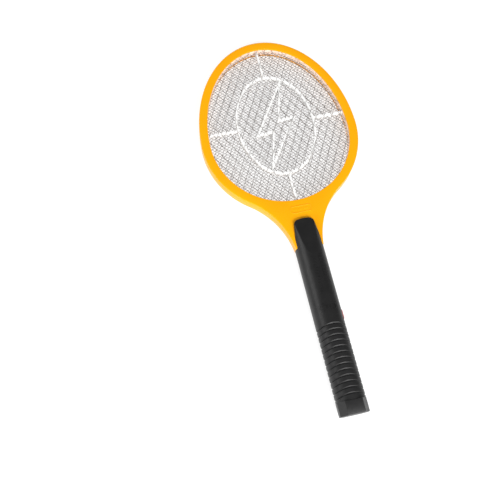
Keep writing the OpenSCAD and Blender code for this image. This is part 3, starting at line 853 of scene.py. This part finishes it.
def pill_outline():
    """Raised stadium outline on the front of the handle."""
    w, h, band, ease = 18.0, 7.8, 0.9, 0.1
    corners = ((0, -FRONT_SINK), (ease, FRONT_RISE), (band - ease, FRONT_RISE), (band, -FRONT_SINK))
    outlines = []
    for d, z in corners:
        outline = rounded_rect(PILL_X, PILL_Y, w - 2 * d, h - 2 * d, h / 2 - d - 0.01)
        outlines.append([(x, y, front_height(x) + z) for x, y in outline])
    return wall_along(outlines)


def front_marks():
    """Plain raised dashes in place of the moulded lettering, and the stadium below them."""
    marks = []
    for y in (-168.0, -171.0, -174.0, -177.6, -181.2, -185.2, -188.5, -191.4, -195.9):
        marks.append(decal(rounded_rect(6.4, y, 3.4, 1.5, 0.4, 3)))
    for k in range(13):
        x = (-1.9, -0.2, -1.4)[k % 3]
        marks.append(decal(rounded_rect(x, -169.8 - 3.24 * k, 2.6, 1.5, 0.4, 3)))
    marks.append(pill_outline())
    for x in (-3.6, PILL_X, 3.8):
        marks.append(decal(rounded_rect(x, PILL_Y, 2.2, 3.2, 0.7, 3)))
    return merge(marks, "marks")


def stadium(x, length, height):
    """Stadium in the YZ plane at x, round the middle of the button."""
    r, n = height / 2, 14
    points = []
    for side, start in ((1, -90), (-1, 90)):
        for i in range(n + 1):
            a = math.radians(start + 180 * i / n)
            points.append((x, BUTTON_Y + side * (length / 2 - r) + r * math.cos(a), r * math.sin(a)))
    return points


def button_slot():
    """The slot for the button, which widens towards the outside."""
    length, height = BUTTON_L + 2 * BUTTON_FIT, BUTTON_H + 2 * BUTTON_FIT
    steps = ((11.5, 0), (14.9, 0), (15.6, 0.7), (17.5, 1.2))
    return loft([stadium(x, length + grow, height + grow) for x, grow in steps], "flat")


def post(x, y, r, z0, z1):
    return prism(circle(x, y, r, 32), z0, z1)


def lead_holes(sign):
    """Cutters for the holes in the bulkhead that the leads pass through."""
    y0, y1 = BULKHEAD[1] - 1, BULKHEAD[0] + 1
    if sign > 0:
        return [box(-9, -5.6, y0, y1, 0.5, 3.5), box(-11.8, -9.4, y0, y1, 4.3, 6.7),
                box(8.6, 10.9, y0, y1, 4.8, 7.2)]
    return [box(9.6, 11.8, y0, y1, -3.2, -0.9)]


def saddle(y):
    """Rib inside the front half that a battery lies against."""
    half_t, skin, seat_r, seat_drop = 0.8, 1.4, 7.5, 3.2
    blank = box(-9, 9, y - half_t, y + half_t, 0, GRIP_B)
    ends = (y - 2, y + 2)
    combine(blank, [loft([inner_ring(end, 1, skin) for end in ends], "flat")], "INTERSECT")
    seat = [[(x, end, z - seat_drop) for x, z in circle(0, 0, seat_r, 64)] for end in ends]
    return combine(blank, [loft(seat, "flat")], "DIFFERENCE")


def hollow(sign, half):
    """Takes the inner space, the neck's passage and the room where the throat fits out of one half of the
    handle.
    """
    neck_z = (-1, 6.05) if sign > 0 else (-6.05, 1)
    tongue_z = (-1, RING_H) if sign > 0 else (-RING_H, 1)
    combine(half, [box(-20, 20, NECK_Y, -100, *tongue_z)], "DIFFERENCE")
    cutters = [cavity(NECK_Y - 2.5, BULKHEAD[0], sign), cavity(BULKHEAD[1], HANDLE_END + 2.5, sign),
               box(-10.55, 10.55, NECK_Y - 3.5, NECK_Y + 5, *neck_z)]
    combine(half, cutters, "DIFFERENCE")


def door_blank():
    """The part of the back half that the battery door is made of."""
    blank = handle_half(-1, False)
    combine(blank, [box(-20, 20, HANDLE_END - 5, DOOR_TOP, -20, DOOR_Z)], "INTERSECT")
    inner = [inner_ring(y, -1, WALL - DOOR_GAP) for y in (DOOR_TOP + 1, HANDLE_END - 1)]
    return combine(blank, [loft(inner, "flat")], "DIFFERENCE")


def rails(grow):
    """The two angle rails of the battery door, grown by the running clearance."""
    y0, y1 = (HANDLE_END, DOOR_TOP) if grow == 0 else (HANDLE_END - 5, DOOR_TOP + grow)
    parts = []
    for side in (-1, 1):
        xs = sorted((side * (RAIL_X - grow), side * (RAIL_X + RAIL_T + grow)))
        parts.append(box(*xs, y0, y1, DOOR_Z - 1.3, RAIL_Z + grow))
        xs = sorted((side * (RAIL_X - grow), side * (RAIL_REACH + grow)))
        parts.append(box(*xs, y0, y1, RAIL_Z - 1 - grow, RAIL_Z + grow - 0.001))
    return parts


def make_handle(m):
    front = handle_half(1, True)
    combine(front, [front_marks()], "UNION")
    hollow(1, front)
    posts = [post(0, y, POST_R - 1, 0, POST_TOP) for y in SCREW_YS]
    hold_x, hold_y, half_t = 6.7, 8.1, 0.8
    for y in (BUTTON_Y - hold_y, BUTTON_Y + hold_y):
        posts.append(box(hold_x, 8.5, y - half_t, y + half_t, 0, 8))
        posts.append(box(hold_x, 9.7, y - half_t, y + half_t, 7.5, 11))
    combine(front, posts + [saddle(y) for y in SADDLE_YS], "UNION")
    holes = [post(0, y, 1.25, -1, 9.2) for y in SCREW_YS]
    combine(front, [*holes, button_slot(), *lead_holes(1)], "DIFFERENCE")
    finish_piece(front, "handle_front_shell", m["black"], "racket", ["handle_front"])

    back = handle_half(-1, False)
    hollow(-1, back)
    gone = [box(-20, 20, HANDLE_END - 5, DOOR_TOP + DOOR_GAP, -20, DOOR_Z + DOOR_GAP), *rails(DOOR_GAP)]
    combine(back, gone, "DIFFERENCE")
    posts = [post(0, y, POST_R, -POST_TOP, 0) for y in SCREW_YS]
    posts += [post(x, y, 1.6, -12.4, -3.6) for x in (-6, 6) for y in (-183, -208)]
    posts.append(box(-8.3, 8.3, HANDLE_END + 0.02, HANDLE_END + 2.48, -12.2, DOOR_Z + 0.4))
    combine(back, posts, "UNION")
    holes = [post(0, y, SCREW_WELL_R, -16, HANDLE_SEAT) for y in SCREW_YS]
    holes += [post(0, y, SCREW_HOLE_R, HANDLE_SEAT - 1, 1) for y in SCREW_YS]
    combine(back, [*holes, button_slot(), *lead_holes(-1)], "DIFFERENCE")
    finish_piece(back, "handle_back_shell", m["black"], "racket", ["handle_back"])


def make_door(m):
    door = door_blank()
    combine(door, rails(0), "UNION")
    finish_piece(door, "battery_door_cover", m["black"], "door", ["battery_door"])


def make_button(m):
    steps = ((11.6, 2, 1.4), (12.6, 2, 1.4), (12.6, 0, 0), (15.2, 0, 0),
             (15.75, -0.35, -0.35), (16.1, -1.1, -1.1), (16.3, -2.2, -2.2), (16.4, -3.6, -3.6))
    cap_rings = [stadium(x, BUTTON_L + longer, BUTTON_H + higher) for x, longer, higher in steps]
    finish_piece(loft(cap_rings, "flat"), "push_button_cap", m["red"], "button",
                 ["push_button"])


def screw(x, y, tip, seat):
    """Pan head screw driven upwards from the back, with a cross recess."""
    head_h, head_r, shank_r, n = 1.6, 2.6, 1.2, 32
    low = seat - head_h
    steps = [(head_r * 0.6, low), (head_r * 0.88, low + 0.22), (head_r, low + 0.65), (head_r, seat),
             (shank_r, seat)]
    z, turn = seat + 0.6, 0
    while z < tip - 1.2:
        steps.append((shank_r - 0.25 * (turn % 2), z))
        z, turn = z + 0.35, turn + 1
    steps += [(shank_r - 0.25, tip - 0.9), (0.25, tip)]
    body = loft([[(*p, z) for p in circle(x, y, r, n)] for r, z in steps], "flat")
    slots = [box(x - 1.5, x + 1.5, y - 0.32, y + 0.32, low - 1, low + 0.8),
             box(x - 0.32, x + 0.32, y - 1.5, y + 1.5, low - 1, low + 0.79)]
    return combine(body, slots, "DIFFERENCE")


def make_screws(m):
    handle_screws = [(0, y) for y in SCREW_YS]
    for name, spots, seat in (("throat_screws", THROAT_SCREWS, THROAT_SEAT),
                              ("handle_screws", handle_screws, HANDLE_SEAT)):
        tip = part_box(name)[1].z / MM - MID_Z
        piece = merge([screw(x, y, tip, seat) for x, y in spots], name)
        finish_piece(piece, name + "_cross", m["zinc"], "racket", [name], 40)


# ---------------------------------------------------------------- CAD nodes that stay

CAD_LOOKS = {
    "white": ["switch_plunger"],
    "grey": ["switch_body"], "board": ["switch_board", "circuit_board"],
    "nickel": ["battery_spring", "spring_plate", "positive_contact"],
    "ferrite": ["transformer_core"], "copper": ["transformer_winding"], "epoxy": ["transistor", "diodes"],
    "film": ["storage_capacitor"], "disc": ["doubler_capacitors"], "tan": ["resistors"],
    "brass": ["grid_terminals"],
    "lead_red": ["grid_lead_front", "grid_lead_back", "positive_lead"],
    "lead_white": ["grid_lead_centre"], "lead_black": ["negative_lead"], "lead_yellow": ["switch_leads"],
}


EASED = {"switch_body": 0.25, "switch_board": 0.12, "circuit_board": 0.15, "battery_upper": 0.5,
         "battery_lower": 0.5, "transformer_core": 0.3, "transformer_winding": 0.4, "transistor": 0.3,
         "storage_capacitor": 0.6, "doubler_capacitors": 0.4, "diodes": 0.25, "resistors": 0.3}


def banded(name, node):
    """Battery sleeve: black, with a copper coloured band over the third next to the positive end."""
    material, tree, shader = node_material(name)
    low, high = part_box(node)
    edge = high.y - 0.3 * (high.y - low.y)
    where = tree.nodes.new("ShaderNodeTexCoord")
    split = tree.nodes.new("ShaderNodeSeparateXYZ")
    tree.links.new(where.outputs["Object"], split.inputs["Vector"])
    step = tree.nodes.new("ShaderNodeMath")
    step.operation = "GREATER_THAN"
    step.inputs[1].default_value = edge
    tree.links.new(split.outputs["Y"], step.inputs[0])
    tree.links.new(ramp(tree, step.outputs["Value"], (0.012, 0.012, 0.013), (0.56, 0.17, 0.03)),
                   shader.inputs["Base Color"])
    tree.links.new(spread(tree, noise(tree, 900), 0.22, 0.32), shader.inputs["Roughness"])
    shader.inputs["Coat Weight"].default_value = 0.3
    return material


def dress_cad_nodes(m):
    m["cell_upper"] = banded("cell_upper_sleeve", "battery_upper")
    m["cell_lower"] = banded("cell_lower_sleeve", "battery_lower")
    looks = {**CAD_LOOKS, "cell_upper": ["battery_upper"], "cell_lower": ["battery_lower"]}
    for look, nodes in looks.items():
        for node in nodes:
            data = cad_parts[node].data
            data.materials.clear()
            data.materials.append(m[look])
    for node, width in EASED.items():
        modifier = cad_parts[node].modifiers.new("eased", "BEVEL")
        modifier.width, modifier.segments = width * MM, 2
        modifier.limit_method, modifier.angle_limit = "ANGLE", math.radians(40)


make_camera()
make_stage()
materials = make_materials()
make_frame(materials)
make_grids(materials)
make_spacers(materials)
make_handle(materials)
make_door(materials)
make_button(materials)
make_screws(materials)
dress_cad_nodes(materials)
